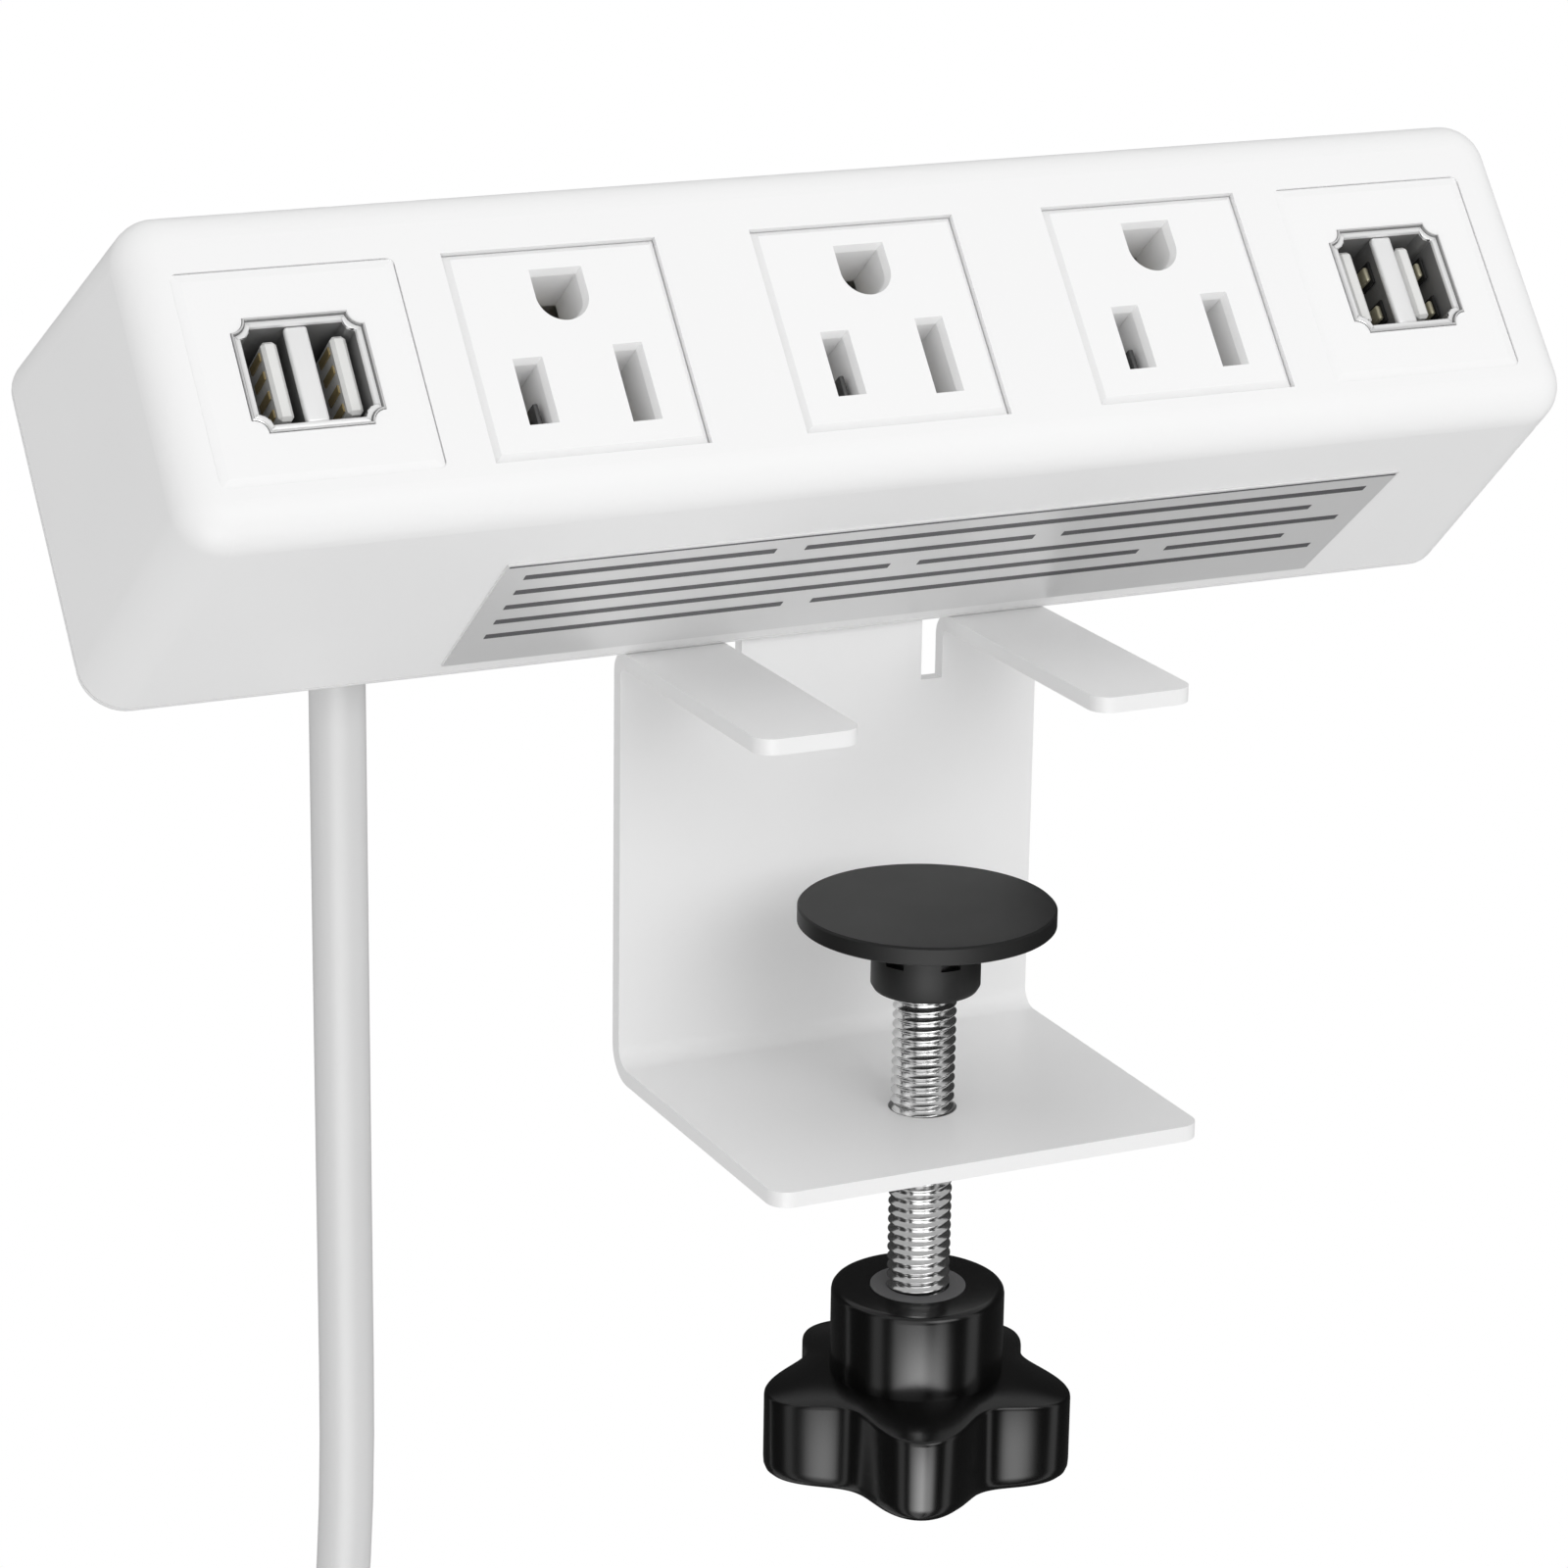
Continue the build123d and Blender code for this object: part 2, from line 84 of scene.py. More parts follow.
# Helpers for materials and meshes

def linear(hexColour):
    parts = [int(hexColour[i:i + 2], 16) / 255 for i in (1, 3, 5)]
    return [c / 12.92 if c <= 0.04045 else ((c + 0.055) / 1.055) ** 2.4 for c in parts] + [1]


class Material:
    def __init__(self, name, colour, roughness=0.4, metal=0.0, **inputs):
        self.data = bpy.data.materials.new(name)
        self.data.use_nodes = True
        self.tree = self.data.node_tree
        self.shader = self.tree.nodes["Principled BSDF"]
        self.colour = linear(colour)
        self.shader.inputs["Base Color"].default_value = self.colour
        self.shader.inputs["Roughness"].default_value = roughness
        self.shader.inputs["Metallic"].default_value = metal
        for key, value in inputs.items():
            self.shader.inputs[key.replace("_", " ")].default_value = value

    def add(self, kind, links=None, **settings):
        node = self.tree.nodes.new(kind)
        for key, value in settings.items():
            if key in node.inputs:
                node.inputs[key].default_value = value
            else:
                setattr(node, key, value)
        for key, value in (links or {}).items():
            self.tree.links.new(value, node.inputs[key])
        return node

    def position(self, stretch=(1, 1, 1)):
        coordinates = self.add("ShaderNodeTexCoord").outputs["Object"]
        mapping = self.add("ShaderNodeMapping", {"Vector": coordinates})
        mapping.inputs["Scale"].default_value = stretch
        return mapping.outputs["Vector"]

    def noise(self, size, stretch=(1, 1, 1), detail=3.0):
        # noise whose features are about size mm across
        return self.add("ShaderNodeTexNoise", {"Vector": self.position(stretch)},
                        Scale=1 / (size * mm), Detail=detail).outputs["Fac"]

    def spread(self, value, low, high):
        ramp = self.add("ShaderNodeMapRange", {"Value": value})
        ramp.inputs["To Min"].default_value = low
        ramp.inputs["To Max"].default_value = high
        return ramp.outputs["Result"]

    def bump(self, height, strength, depth):
        node = self.add("ShaderNodeBump", {"Height": height}, Strength=strength,
                        Distance=depth * mm)
        self.link(node.outputs["Normal"], "Normal")

    def link(self, output, socket):
        self.tree.links.new(output, self.shader.inputs[socket])

    def shade(self, value, amount):
        # the colour darkens by up to amount where value is low
        mix = self.add("ShaderNodeVectorMath", {"Scale": self.spread(value, 1 - amount, 1)},
                       operation="SCALE")
        mix.inputs[0].default_value = self.colour[:3]
        self.link(mix.outputs["Vector"], "Base Color")


def moulded(name, colour, roughness, grain=0.35, depth=0.004, **inputs):
    # moulded plastic: a fine spark-eroded grain and a little cloudiness in the gloss
    m = Material(name, colour, roughness, **inputs)
    m.bump(m.noise(grain), 0.35, depth)
    m.link(m.spread(m.noise(14), roughness - 0.04, roughness + 0.05), "Roughness")
    m.shade(m.noise(30, detail=1.0), 0.015)
    return m


def metal(name, colour, roughness, streak=(1, 1, 1), grain=0.3, depth=0.003):
    m = Material(name, colour, roughness, 1.0)
    m.bump(m.noise(grain, streak), 0.3, depth)
    m.link(m.spread(m.noise(2.5, streak), roughness * 0.75, roughness * 1.3), "Roughness")
    return m


def objectFrom(bm, name, materials, matrix, smooth):
    # edges sharper than smooth degrees stay crisp
    bmesh.ops.recalc_face_normals(bm, faces=bm.faces)
    bmesh.ops.transform(bm, matrix=matrix, verts=bm.verts)
    mesh = bpy.data.meshes.new(name)
    bm.to_mesh(mesh)
    bm.free()
    for m in materials:
        mesh.materials.append(m.data)
    mesh.polygons.foreach_set("use_smooth", [True] * len(mesh.polygons))
    mesh.set_sharp_from_angle(angle=math.radians(smooth))
    piece = bpy.data.objects.new(name, mesh)
    scene.collection.objects.link(piece)
    return piece


def place(piece, body, slot, *replaced):
    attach(piece, body)
    if replaced:
        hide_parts(*replaced)
    return piece


def paint(material, *names):
    for name in names:
        mesh = nodes[name].data
        mesh.materials.clear()
        mesh.materials.append(material.data)


def addBox(bm, low, high, bevel, segments, material=0):
    made = bmesh.ops.create_cube(bm, size=1)["verts"]
    size = [h - l for l, h in zip(low, high)]
    middle = [(h + l) / 2 for l, h in zip(low, high)]
    bmesh.ops.scale(bm, vec=size, verts=made)
    bmesh.ops.translate(bm, vec=middle, verts=made)
    faces = {f for v in made for f in v.link_faces}
    for face in faces:
        face.material_index = material
    if bevel:
        edges = list({e for v in made for e in v.link_edges})
        bmesh.ops.bevel(bm, geom=edges, offset=bevel, segments=segments, profile=0.5,
                        affect="EDGES", material=-1)


def lathe(profile, steps, centre):
    # a solid turned about Z from (radius, height) pairs, closed on the axis or on themselves
    bm = bmesh.new()
    ring = [bm.verts.new((r, 0, z)) for r, z in profile]
    edges = [bm.edges.new(pair) for pair in zip(ring, ring[1:])]
    bmesh.ops.spin(bm, geom=ring + edges, cent=(0, 0, 0), axis=(0, 0, 1), angle=math.tau,
                   steps=steps, use_merge=True)
    bmesh.ops.remove_doubles(bm, verts=bm.verts, dist=1e-4)
    bmesh.ops.translate(bm, vec=(*centre, 0), verts=bm.verts)
    return bm


def merge(bm, part):
    temp = bpy.data.meshes.new("part")
    part.to_mesh(temp)
    part.free()
    bm.from_mesh(temp)
    bpy.data.meshes.remove(temp)


scaleMm = Matrix.Scale(mm, 4)
inHousing = housing @ scaleMm


# Power cord

cordSettings = dict(diameter=7.1, x=-62.3, y=12.0, start=26.0, hangEnd=-128.0, ringRadius=39.2,
                    ringMiddle=-204.0, plugTop=-300.0, perTurn=18)


def cordRoute(s):
    d, x, y = s["diameter"], s["x"], s["y"]
    route = [(x, y, s["start"]), (x, y, 0.0), (x, y, -60.0), (x, y, s["hangEnd"]),
             (x - 6.5, y, s["hangEnd"] - 24)]
    outer, inner = s["ringRadius"] + d / 2, s["ringRadius"] - d / 2
    rows = [y + d, y, y - d, y - 2 * d]
    turns = [(outer, rows[1]), (outer, rows[0]), (inner, rows[0]), (inner, rows[1]),
             (inner, rows[2]), (outer, rows[2]), (inner, rows[3]), (outer, rows[3])]
    step = 360 / s["perTurn"]
    angle = 128.0
    last = 234.0 + 6 * 360
    while angle < last:
        along = (angle - 180) / 360 + 0.5
        index = max(0, min(6, math.floor(along)))
        t = min(max((along - index - 0.5) / 0.16 + 0.5, 0), 1)
        t = t * t * (3 - 2 * t)
        a, b = turns[index], turns[index + 1]
        r, row = a[0] + (b[0] - a[0]) * t, a[1] + (b[1] - a[1]) * t
        turn = math.radians(angle)
        route.append((x + r * math.cos(turn), row, s["ringMiddle"] + r * math.sin(turn)))
        angle += step
    low, tail = s["ringMiddle"] - 34, rows[3]
    route += [(x - 20, tail, low - 1), (x - 6.5, tail, low - 18), (x, tail, low - 42),
              (x, tail, s["plugTop"] - 2)]
    return route


def makeCord(s):
    curve = bpy.data.curves.new("power_cord_line", "CURVE")
    curve.dimensions = "3D"
    spline = curve.splines.new("NURBS")
    route = cordRoute(s)
    spline.points.add(len(route) - 1)
    for point, at in zip(spline.points, route):
        point.co = (at[0] * mm, at[1] * mm, at[2] * mm, 1)
    spline.order_u = 3
    spline.use_endpoint_u = True
    spline.resolution_u = 6
    curve.bevel_depth = s["diameter"] / 2 * mm
    curve.bevel_resolution = 10
    curve.use_fill_caps = True
    piece = bpy.data.objects.new("power_cord_line", curve)
    scene.collection.objects.link(piece)
    return piece


# Extruded white PVC jacket: fine lengthwise drawing marks, soft satin sheen.
cordJacket = Material("cord_jacket_pvc", "#DADADA", 0.42)
cordJacket.bump(cordJacket.noise(0.5, (1, 1, 0.05)), 0.3, 0.01)
cordJacket.shade(cordJacket.noise(18, detail=1.0), 0.02)
cordPiece = makeCord(cordSettings)
cordPiece.data.materials.append(cordJacket.data)
place(cordPiece, "strip", "cord_white", "power_cord", "cord_tail", "cord_coil")
print("cord done")


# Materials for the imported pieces

housingPlastic = moulded("housing_white_plastic", "#F6F6F6", 0.45, Specular_IOR_Level=0.25)
coverPlastic = moulded("cover_white_plastic", "#F2F2F2", 0.45, Specular_IOR_Level=0.25)
insertPlastic = moulded("outlet_white_plastic", "#F7F7F7", 0.42, Specular_IOR_Level=0.25)
powderCoat = moulded("bracket_powder_coat", "#F1F1F1", 0.42, grain=0.5, depth=0.008)
zinc = metal("zinc_plated_steel", "#D8D8D8", 0.16)
stainless = Material("usb_stainless", "#DCDCDC", 0.3, 0.5)
gold = Material("gold_contacts", "#A8966A", 0.42, 0.2)
nylon = moulded("pad_black_nylon", "#161616", 0.5, grain=0.6, depth=0.01,
                Specular_IOR_Level=0.3)
gloss = moulded("knob_black_phenolic", "#060606", 0.2, grain=1.2, depth=0.002)
insertGrey = moulded("knob_insert_grey", "#5C5C5D", 0.6)
tongueWhite = moulded("usb_tongue_white", "#E9E9E7", 0.4)
board = moulded("circuit_board_green", "#1E5C38", 0.35)
brass = metal("contact_brass", "#C9AE6A", 0.3)
ferrite = moulded("ferrite_grey", "#2B2B2D", 0.6)
copper = metal("copper_winding", "#B9693A", 0.35, (1, 1, 12))
black = moulded("component_black", "#161616", 0.45)
green = moulded("lead_green", "#2E7A3A", 0.4)
red = moulded("lead_red", "#9E2A26", 0.4)
tie = moulded("tie_white_nylon", "#E6E6E4", 0.38)

paint(housingPlastic, "front_housing")
paint(coverPlastic, "rear_cover", "strain_relief", "plug_body")
paint(insertPlastic, "outlet_insert_1", "outlet_insert_2", "outlet_insert_3", "usb_plate_left",
      "usb_plate_right")
paint(powderCoat, "clamp_bracket")
paint(zinc, "clamp_nut", "swivel_clip", "cover_screws", "bracket_screws", "plug_blades",
      "plug_ground_pin")
paint(brass, "line_bus_bar", "neutral_bus_bar", "earth_bus_bar")
paint(board, "power_board", "usb_board_left", "usb_board_right")
paint(ferrite, "transformer_core")
paint(copper, "transformer_winding")
paint(black, "capacitors", "board_chips", "line_lead")
paint(Material("fuse_glass", "#DDE6E6", 0.05, Transmission_Weight=0.9), "board_fuse")
paint(tongueWhite, "neutral_lead")
paint(green, "earth_lead")
paint(red, "usb_leads")
paint(tie, "cord_tie")
paint(insertGrey, "knob_insert")
print("materials done")


# Label: brushed silver foil with a dark printed edge and rows of plain bars

labelSettings = dict(left=-48.3, right=73.1, low=-42.6, high=-14.6, margin=3.2, bar=1.2,
                     gap=2.9, cuts=(0.30, 0.62, 0.46, 0.78, 0.36), cutHalf=2.0, ragged=6.0,
                     edgeInset=0.3, edgeFrom=0.7, edgeTo=0.35, foil=0.3, ink=0.02,
                     lower=-19.6, draft=-0.7 / 47.0)


def labelMaterial():
    m = Material("label_silver_foil", "#E4E4E4", 0.32, 0.2)
    m.bump(m.noise(0.25, (0.04, 1, 1)), 0.2, 0.004)
    m.link(m.spread(m.noise(0.8, (0.03, 1, 1)), 0.26, 0.4), "Roughness")
    return m


def makeLabel(s):
    # the foil lies on the housing's drafted lower side
    def surface(depth):
        return s["lower"] - s["draft"] * depth

    def patch(x0, x1, d0, d1, lift, thick, material):
        before = len(bm.verts)
        addBox(bm, (x0, -thick, d0), (x1, 0, d1), 0.03, 1, material)
        for vert in list(bm.verts)[before:]:
            vert.co.y += surface(vert.co.z) - lift

    bm = bmesh.new()
    patch(s["left"], s["right"], s["low"], s["high"], 0.0, s["foil"], 0)
    left, right = s["left"] + s["margin"], s["right"] - s["margin"]
    span = right - left
    for row, cut in enumerate(s["cuts"]):
        high = s["high"] - s["margin"] - row * (s["bar"] + s["gap"])
        bars = ((left, left + cut * span - s["cutHalf"]),
                (left + cut * span + s["cutHalf"], right - s["ragged"] * (row % 2)))
        for x0, x1 in bars:
            patch(x0, x1, high - s["bar"], high, s["foil"], s["ink"], 1)
    patch(s["left"] + s["edgeInset"], s["right"] - s["edgeInset"], s["high"] - s["edgeFrom"],
          s["high"] - s["edgeTo"], s["foil"], s["ink"], 1)
    return objectFrom(bm, "foil_label", [labelFoil, labelInk], inHousing, smooth=30)


labelFoil = labelMaterial()
labelInk = Material("label_dark_ink", "#5A5A5C", 0.5)     # matt screen-printed ink
place(makeLabel(labelSettings), "strip", "label_silver", "label_plate")
print("label done")


# USB ports: drawn steel frames with a rolled double lip, divider, tongues and springs

usbSettings = dict(width=15.9, height=14.3, notch=1.7, step=3.75, divider=1.4, wall=1.1,
                   spread=0.8, tongueNear=0.4, tongueFar=2.3, tongueHalf=5.0,
                   tongueDepth=-1.6, back=-12.0, lip=1.05, corner=1.62, cornerDepth=4.0,
                   cornerDrop=-2.01, springRows=(-2.9, 2.5), contactRows=(-3.6, -1.25, 1.25, 3.6),
                   contactThick=0.22)


def usbFrame(s):
    # outer edge first, then each ring further in: inset, rise, material
    rings = [(0.05, 0.42, 0), (0.07, 0.08, 0), (0.12, 0.0, 0), (0.06, -0.42, 3), (0.07, -0.06, 1),
             (0.05, 0.12, 2), (0.12, 0.06, 2), (0.36, 0.0, 2), (0.16, -0.12, 2), (0.08, -0.35, 2),
             (0.02, -10.8, 1), (0.02, -0.1, 1)]
    bm = bmesh.new()
    outline = []
    for sx, sy, start in ((1, 1, 270), (-1, 1, 360), (-1, -1, 90), (1, -1, 180)):
        for k in range(7):
            turn = math.radians(start - 15 * k)
            outline.append((sx * s["width"] / 2 + s["notch"] * math.cos(turn),
                            sy * s["height"] / 2 + s["notch"] * math.sin(turn)))
    face = bm.faces.new([bm.verts.new((x, y, -0.3)) for x, y in outline])
    for inset, rise, material in rings:
        made = bmesh.ops.inset_region(bm, faces=[face], thickness=inset, use_even_offset=True,
                                      use_boundary=True)
        for side in made["faces"]:
            side.material_index = material
        bmesh.ops.translate(bm, vec=(0, 0, rise), verts=face.verts)
    face.material_index = 1
    edges = [e for e in bm.edges if e.is_boundary]
    skirt = bmesh.ops.extrude_edge_only(bm, edges=edges)
    low = [v for v in skirt["geom"] if isinstance(v, bmesh.types.BMVert)]
    bmesh.ops.translate(bm, vec=(0, 0, s["back"] - 1.0), verts=low)
    bmesh.ops.contextual_create(bm, geom=[e for e in bm.edges if e.is_boundary])
    return bm


def makeUsb(name, x, side, s):
    unit = inHousing @ Matrix.Translation((x, 0, 0))
    shell = usbFrame(s)
    half, wall = s["height"] / 2 - s["lip"], s["wall"]
    # the divider takes the lighter steel of painted highlight
    addBox(shell, (-s["divider"], -half, -1.6), (s["divider"], half, -0.55), 0.4, 3, 2)
    addBox(shell, (-wall, -half, s["back"] + 0.5), (wall, half, -1.5), 0.0, 1, 1)
    for sx, sy in ((1, 1), (-1, 1), (-1, -1), (1, -1)):     # the plate's corners fill the notches
        corner = bmesh.ops.create_cone(shell, cap_ends=True, segments=32, radius1=s["corner"],
                                       radius2=s["corner"], depth=s["cornerDepth"])["verts"]
        bmesh.ops.translate(shell, verts=corner, vec=(sx * s["width"] / 2, sy * s["height"] / 2,
                                                      s["cornerDrop"]))
        for face in {f for v in corner for f in v.link_faces}:
            face.material_index = 6
    if side < 0:
        for port in (-1, 1):
            at = port * s["step"] + (2.75 if port > 0 else 2.6)
            # each opening is a near-black box of painted shade, with its tab standing in it
            for row in s["springRows"]:     # a dark cut-out with its tab standing in it
                addBox(shell, (at - 0.25, row - 1.5, -6.8), (at + 0.1, row + 1.5, -3.0),
                       0.1, 1, 4)
                addBox(shell, (at - 0.9, row - 1.0, -6.2), (at - 0.15, row + 1.0, -3.4),
                       0.35, 3, 5)
    finishes = [stainless, usbCavity, usbPaintedHighlight, usbStep, usbCutoutShade, usbSpring, insertPlastic]
    place(objectFrom(shell, "usb_shell_" + name, finishes, unit, 30), "strip", "usb_steel",
          "usb_shell_" + name)
    tongues, contacts = bmesh.new(), bmesh.new()
    for port in (-1, 1):
        centre = port * s["step"] - (side * s["spread"] if port == -side else 0)
        near, far = centre + side * s["tongueNear"], centre + side * s["tongueFar"]
        addBox(tongues, (min(near, far), -s["tongueHalf"], s["back"]),
               (max(near, far), s["tongueHalf"], s["tongueDepth"]), 0.42, 1)
        face = near - side * s["contactThick"]
        for row in s["contactRows"]:
            addBox(contacts, (min(near, face), row - 0.55, -6.5),
                   (max(near, face), row + 0.5, -2.6), 0.06, 1)
    place(objectFrom(tongues, "usb_tongues_" + name, [tongueWhite], unit, 30), "strip",
          "usb_tongue", "usb_tongues_" + name)
    place(objectFrom(contacts, "usb_contacts_" + name, [gold], unit, 30), "strip", "gold_contact",
          "usb_contacts_" + name)


leafSettings = dict(outlets=(-39.2, 0.0, 39.2), low=(-6.1, -9.2, -9.3), high=(-5.45, -5.3, -2.5),
                    bevel=0.22)


def makeLeaves(s):
    # the live contact's spring leaf, just inside each live slot
    bm = bmesh.new()
    for x in s["outlets"]:
        addBox(bm, (x + s["low"][0], *s["low"][1:]), (x + s["high"][0], *s["high"][1:]),
               s["bevel"], 2)
    return objectFrom(bm, "live_spring_leaves", [leafSteel], inHousing, smooth=30)


# Nickel-plated spring strip in the shade of its slot.
leafSteel = metal("live_leaf_nickel", "#6A6A6A", 0.35)
place(makeLeaves(leafSettings), "strip", "zinc_steel")

# Deep drawn steel that little light reaches.
usbCavity = Material("usb_shadowed_steel", "#808080", 0.45, 0.4)
# painted highlight: the rolled lip and the divider are the shell's steel painted lighter where they
# catch the light
usbPaintedHighlight = Material("usb_painted_highlight_steel", "#F2F2F2", 0.3, 0.25)  # bright rolled lip
usbStep = Material("usb_step_steel", "#A8A8A8", 0.35, 0.5)       # shaded step below the rim
usbSpring = Material("usb_spring_tin", "#B9B49C", 0.38, 0.4)      # tin-plated spring tabs
# painted shade: near-black boxes fill the openings punched round the tabs, where only shade is seen
usbCutoutShade = Material("usb_cutout_painted_shade", "#141414", 0.7)          # openings punched round the tabs
for side, name in ((1, "left"), (-1, "right")):
    x = -72.0 * side
    makeUsb(name, x, side, usbSettings)
print("usb ports done")


# Clamp screw with its rolled thread

screwSettings = dict(crest=3.98, root=3.4, pitch=1.25, segments=64)


def makeScrew(s):
    low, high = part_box("clamp_screw")
    x, y = (low[0] + high[0]) / 2 / mm, (low[1] + high[1]) / 2 / mm
    bottom, top = low[2] / mm + 1.0, high[2] / mm - 1.5
    profile = [(0.0, s["root"]), (0.12, s["root"] + 0.05), (0.40, s["crest"] - 0.07),
               (0.46, s["crest"]), (0.54, s["crest"]), (0.60, s["crest"] - 0.07),
               (0.88, s["root"] + 0.05)]
    n = s["segments"]
    steps = int((top - bottom) / s["pitch"] * n)
    bm = bmesh.new()
    rows = []
    for i in range(steps + n + 1):
        turn = math.tau * i / n
        fade = min(1, i / n, (steps - i) / n) if i < steps else 0
        ring = []
        for part, r in profile:
            r = s["root"] + (r - s["root"]) * max(fade, 0)
            z = bottom + s["pitch"] * (i / n + part)
            ring.append(bm.verts.new((x + r * math.cos(turn), y + r * math.sin(turn), z)))
        rows.append(ring)
    for i in range(steps):
        for k in range(len(profile) - 1):
            bm.faces.new((rows[i][k], rows[i + 1][k], rows[i + 1][k + 1], rows[i][k + 1]))
        bm.faces.new((rows[i][-1], rows[i + 1][-1], rows[i + 1 + n][0], rows[i + n][0]))
    core = lathe([(0, low[2] / mm), (3.0, low[2] / mm), (3.3, low[2] / mm + 0.4),
                  (3.3, high[2] / mm - 0.6), (2.8, high[2] / mm), (0, high[2] / mm)], 48, (x, y))
    merge(bm, core)
    return objectFrom(bm, "threaded_clamp_screw", [zinc], scaleMm, smooth=50)


place(makeScrew(screwSettings), "screw", "zinc_steel", "clamp_screw")
print("screw done")


# Pad: a thin disc on a hub with six windows and six ribs

padSettings = dict(disc=2.3, edge=0.25, lowEdge=0.15, hub=6.85, bore=4.3, window=6.5,
                   windowHalf=11, inward=0.76, ribHalf=0.28)


def makePad(s):
    low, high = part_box("pad_disc")
    x, y = (low[0] + high[0]) / 2 / mm, (low[1] + high[1]) / 2 / mm
    radius, top, bottom = (high[0] - low[0]) / 2 / mm, high[2] / mm, low[2] / mm
    under, edge = top - s["disc"], s["edge"]
    disc = [(0, top), (radius - edge, top), (radius, top - edge), (radius, under + s["lowEdge"]),
            (radius - s["lowEdge"], under), (0, under)]
    bm = lathe(disc, 160, (x, y))
    bore, rim, sill = s["bore"], s["hub"], top - s["window"]
    hub = lathe([(bore, under), (rim, under), (rim, sill), (rim, bottom + 0.6),
                 (rim - 0.35, bottom), (bore, bottom), (bore, under)], 64, (x, y))
    hub.faces.ensure_lookup_table()
    windows = []
    for face in hub.faces:
        c = face.calc_center_median()
        if math.hypot(c.x - x, c.y - y) > rim - 0.15 and sill < c.z < under:
            turn = math.degrees(math.atan2(c.y - y, c.x - x)) % 60
            if abs(turn - 30) < s["windowHalf"]:
                windows.append(face)
    walls = bmesh.ops.extrude_face_region(hub, geom=windows)
    inner = [v for v in walls["geom"] if isinstance(v, bmesh.types.BMVert)]
    for v in inner:
        v.co.x = x + (v.co.x - x) * s["inward"]
        v.co.y = y + (v.co.y - y) * s["inward"]
    bmesh.ops.delete(hub, geom=windows, context="FACES")
    merge(bm, hub)
    for k in range(6):
        turn = Matrix.Rotation(math.radians(30 + 60 * k), 4, "Z")
        corners = [(5.2, top - 6.4), (5.2, top - 2.4), (6.8, top - 2.4), (5.7, top - 5.6)]
        sides = []
        for side in (-s["ribHalf"], s["ribHalf"]):
            sides.append([bm.verts.new(Vector((x, y, 0)) + turn @ Vector((r, side, z)))
                          for r, z in corners])
        bm.faces.new(sides[0])
        bm.faces.new(reversed(sides[1]))
        for a in range(4):
            b = (a + 1) % 4
            bm.faces.new((sides[0][a], sides[1][a], sides[1][b], sides[0][b]))
    return objectFrom(bm, "swivel_pad", [nylon], scaleMm, smooth=35)


place(makePad(padSettings), "pad", "pad_black", "pad_disc")
print("pad done")


# Star knob

knobSettings = dict(lobes=5, mean=17.5, wave=2.66, front=246.0, hub=11.0, steps=240, height=11.2,
                    fall=1.4, insert=6.05, screwRadius=4, fillet=((11.6, 0.09), (10.0, 0)))


def makeKnob(s):
    low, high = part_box("star_knob")
    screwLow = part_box("clamp_screw")[0]
    x, y = screwLow[0] / mm + s["screwRadius"], screwLow[1] / mm + s["screwRadius"]
    bottom, top = low[2] / mm, high[2] / mm
    hubLow = top - s["height"]
    rim = hubLow - s["fall"]
    rings = [(-1.8, bottom), (-0.9, bottom + 0.22), (-0.35, bottom + 0.7), (-0.06, bottom + 1.4),
             (0, bottom + 2.2), (0, rim - 0.6), (-0.05, rim - 0.3), (-0.18, rim - 0.1),
             (-0.4, rim + 0.03)]
    bm = bmesh.new()
    loops = []
    for inset, z in rings:
        loop = []
        for i in range(s["steps"]):
            turn = math.tau * i / s["steps"]
            phase = s["lobes"] * (turn - math.radians(s["front"]))
            r = s["mean"] + s["wave"] * math.cos(phase)
            slope = -s["lobes"] * s["wave"] * math.sin(phase)
            normal = Vector((r * math.cos(turn) + slope * math.sin(turn),
                             r * math.sin(turn) - slope * math.cos(turn))).normalized()
            at = Vector((r * math.cos(turn), r * math.sin(turn))) + normal * inset
            rise = (s["mean"] + s["wave"] - r) / (s["mean"] + s["wave"] - s["hub"]) * s["fall"]
            lift = rise if z > rim - 1 else 0
            loop.append(bm.verts.new((x + at.x, y + at.y, z + lift)))
        loops.append(loop)
    for radius, drop in s["fillet"]:
        z = hubLow - drop
        loops.append([bm.verts.new((x + radius * math.cos(math.tau * i / s["steps"]),
                                    y + radius * math.sin(math.tau * i / s["steps"]), z))
                      for i in range(s["steps"])])
    for a, b in zip(loops, loops[1:]):
        for i in range(s["steps"]):
            j = (i + 1) % s["steps"]
            bm.faces.new((a[i], a[j], b[j], b[i]))
    bm.faces.new(reversed(loops[0]))
    bm.faces.new(loops[-1])
    hub, hole = s["hub"], s["insert"]
    profile = [(0, hubLow - 0.5), (hub, hubLow - 0.5), (hub, top - 0.9), (hub - 0.08, top - 0.5),
               (hub - 0.28, top - 0.22), (hub - 0.6, top - 0.05), (hub - 1.0, top),
               (hole + 0.12, top), (hole + 0.02, top - 0.1), (hole + 0.02, top - 1.2),
               (0, top - 1.2)]
    merge(bm, lathe(profile, 128, (x, y)))
    return objectFrom(bm, "five_lobe_knob", [gloss], scaleMm, smooth=35)


place(makeKnob(knobSettings), "screw", "knob_black", "star_knob")
print("knob done")


# Floor, well below the hanging cord: plain white, and it throws no light or shadow

floorSettings = dict(size=6.0, height=-0.42)

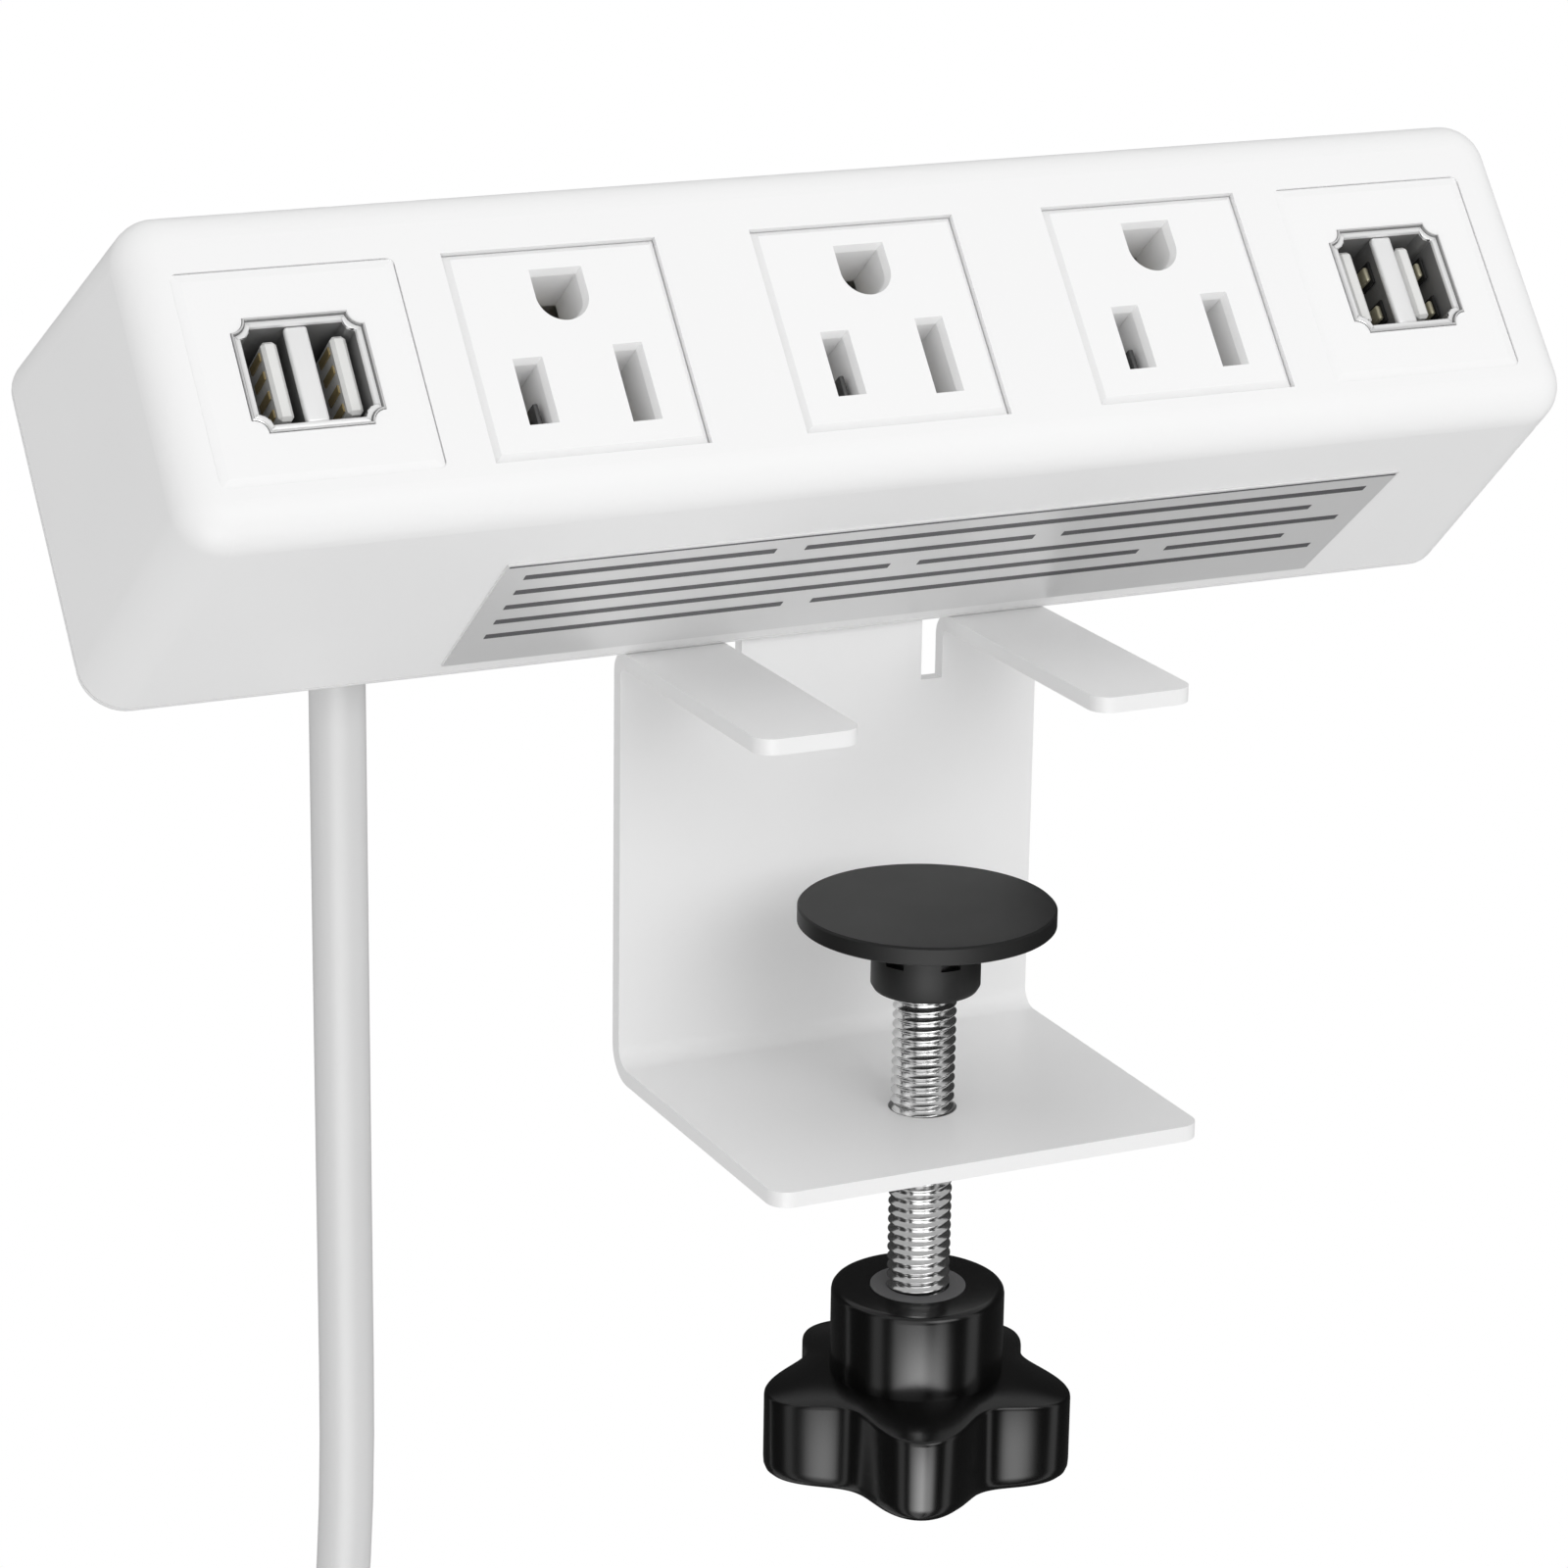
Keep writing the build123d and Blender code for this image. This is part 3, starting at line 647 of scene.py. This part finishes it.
floorMesh = bpy.data.meshes.new("floor")
floorBm = bmesh.new()
bmesh.ops.create_grid(floorBm, x_segments=1, y_segments=1, size=floorSettings["size"])
bmesh.ops.translate(floorBm, vec=(0, 0, floorSettings["height"]), verts=floorBm.verts)
floorBm.to_mesh(floorMesh)
floorBm.free()
floor = bpy.data.objects.new("floor", floorMesh)
scene.collection.objects.link(floor)
floorPaint = Material("floor_white_sweep", "#000000", 1.0, Specular_IOR_Level=0.0)
floorPaint.shader.inputs["Emission Color"].default_value = (1, 1, 1, 1)
floorPaint.shader.inputs["Emission Strength"].default_value = 1.0
# seen from underneath the floor is clear, so that it never hides the object
floorMix = floorPaint.add("ShaderNodeMixShader", {
    "Fac": floorPaint.add("ShaderNodeNewGeometry").outputs["Backfacing"],
    1: floorPaint.shader.outputs["BSDF"],
    2: floorPaint.add("ShaderNodeBsdfTransparent").outputs["BSDF"]})
floorPaint.tree.links.new(floorMix.outputs["Shader"],
                          floorPaint.tree.nodes["Material Output"].inputs["Surface"])
floorMesh.materials.append(floorPaint.data)
floor.visible_diffuse = floor.visible_glossy = floor.visible_shadow = False
floor.visible_transmission = False


# Light

lightSettings = dict(fill=0.79, key=4.4, soft=7.5)

world = bpy.data.worlds.new("studio")
scene.world = world
world.use_nodes = True
tree = world.node_tree


def worldNode(kind, links=None, **settings):
    node = tree.nodes.new(kind)
    for key, value in settings.items():
        setattr(node, key, value)
    for key, value in (links or {}).items():
        if isinstance(value, bpy.types.NodeSocket):
            tree.links.new(value, node.inputs[key])
        else:
            node.inputs[key].default_value = value
    return node


def ramp(value, stops):
    node = worldNode("ShaderNodeValToRGB", {"Fac": value})
    elements = node.color_ramp.elements
    for at, level in stops[2:]:
        elements.new(at)
    for element, (at, level) in zip(elements, sorted(stops)):
        element.position = at
        element.color = (level, level, level, 1)
    return node.outputs["Color"]


# What the gloss sees: tall soft boxes standing round the object, dim between them, and a pale
# ceiling. Azimuth runs 0 to 1 from -X through -Y, and the upright softbox is the brightest.
direction = worldNode("ShaderNodeTexCoord").outputs["Generated"]
split = worldNode("ShaderNodeSeparateXYZ", {"Vector": direction})
turn = worldNode("ShaderNodeMath", {0: split.outputs["Y"], 1: split.outputs["X"]},
                 operation="ARCTAN2").outputs[0]
azimuth = worldNode("ShaderNodeMapRange", {"Value": turn, "From Min": -math.pi,
                                           "From Max": math.pi}).outputs["Result"]
bands = ramp(azimuth, [(0.0, 0.05), (0.02, 0.8), (0.045, 0.8), (0.055, 0.05), (0.085, 0.05),
                       (0.095, 1.2), (0.15, 1.3), (0.20, 1.2), (0.215, 0.05), (0.235, 0.05),
                       (0.25, 1.2), (0.28, 1.1), (0.29, 0.04), (0.36, 0.04), (0.375, 0.8),
                       (0.41, 0.8), (0.42, 0.05), (0.545, 0.05)])
softbox = ramp(azimuth, [(0.0, 0.0), (0.085, 0.0), (0.157, 0.75), (0.195, 1.0), (0.222, 0.75),
                         (0.31, 0.0)])
height = worldNode("ShaderNodeMapRange", {"Value": split.outputs["Z"], "From Min": -1.0,
                                          "From Max": 1.0}).outputs["Result"]
lowOnly = ramp(height, [(0.0, 0.0), (0.15, 0.0), (0.2, 1.0), (0.33, 1.0), (0.38, 0.0)])
ceiling = ramp(height, [(0.0, 0.0), (0.78, 0.0), (0.86, 1.0)])
boxes = worldNode("ShaderNodeMath", {0: softbox, 1: lowOnly}, operation="MULTIPLY").outputs[0]
strong = worldNode("ShaderNodeMath", {0: boxes, 1: lightSettings["soft"], 2: bands},
                   operation="MULTIPLY_ADD").outputs[0]
mixed = worldNode("ShaderNodeMix", {"Factor": ceiling, 2: strong, 3: 0.6},
                  data_type="FLOAT").outputs[0]
glossSeen = worldNode("ShaderNodeBackground", {"Color": (1, 1, 1, 1), "Strength": mixed})
fill = worldNode("ShaderNodeBackground", {"Color": (1, 1, 1, 1), "Strength": lightSettings["fill"]})
white = worldNode("ShaderNodeBackground", {"Color": (1, 1, 1, 1), "Strength": 1.0})
path = worldNode("ShaderNodeLightPath")
lit = worldNode("ShaderNodeMixShader", {0: path.outputs["Is Glossy Ray"],
                                        1: fill.outputs["Background"],
                                        2: glossSeen.outputs["Background"]})
seen = worldNode("ShaderNodeMixShader", {0: path.outputs["Is Camera Ray"],
                                         1: lit.outputs["Shader"],
                                         2: white.outputs["Background"]})
tree.links.new(seen.outputs["Shader"], tree.nodes["World Output"].inputs["Surface"])


def areaLight(name, at, target, size, power):
    light = bpy.data.lights.new(name, "AREA")
    light.shape = "RECTANGLE"
    light.size, light.size_y = size
    light.energy = power
    lamp = bpy.data.objects.new(name, light)
    scene.collection.objects.link(lamp)
    lamp.location = at
    lamp.rotation_euler = (Vector(target) - Vector(at)).to_track_quat("-Z", "Y").to_euler()


areaLight("key_front", (0.15, -1.2, 0.55), (0, 0, 0), (0.9, 0.7), lightSettings["key"])
print("light done")

scene.view_settings.view_transform = "Standard"
scene.view_settings.look = "None"
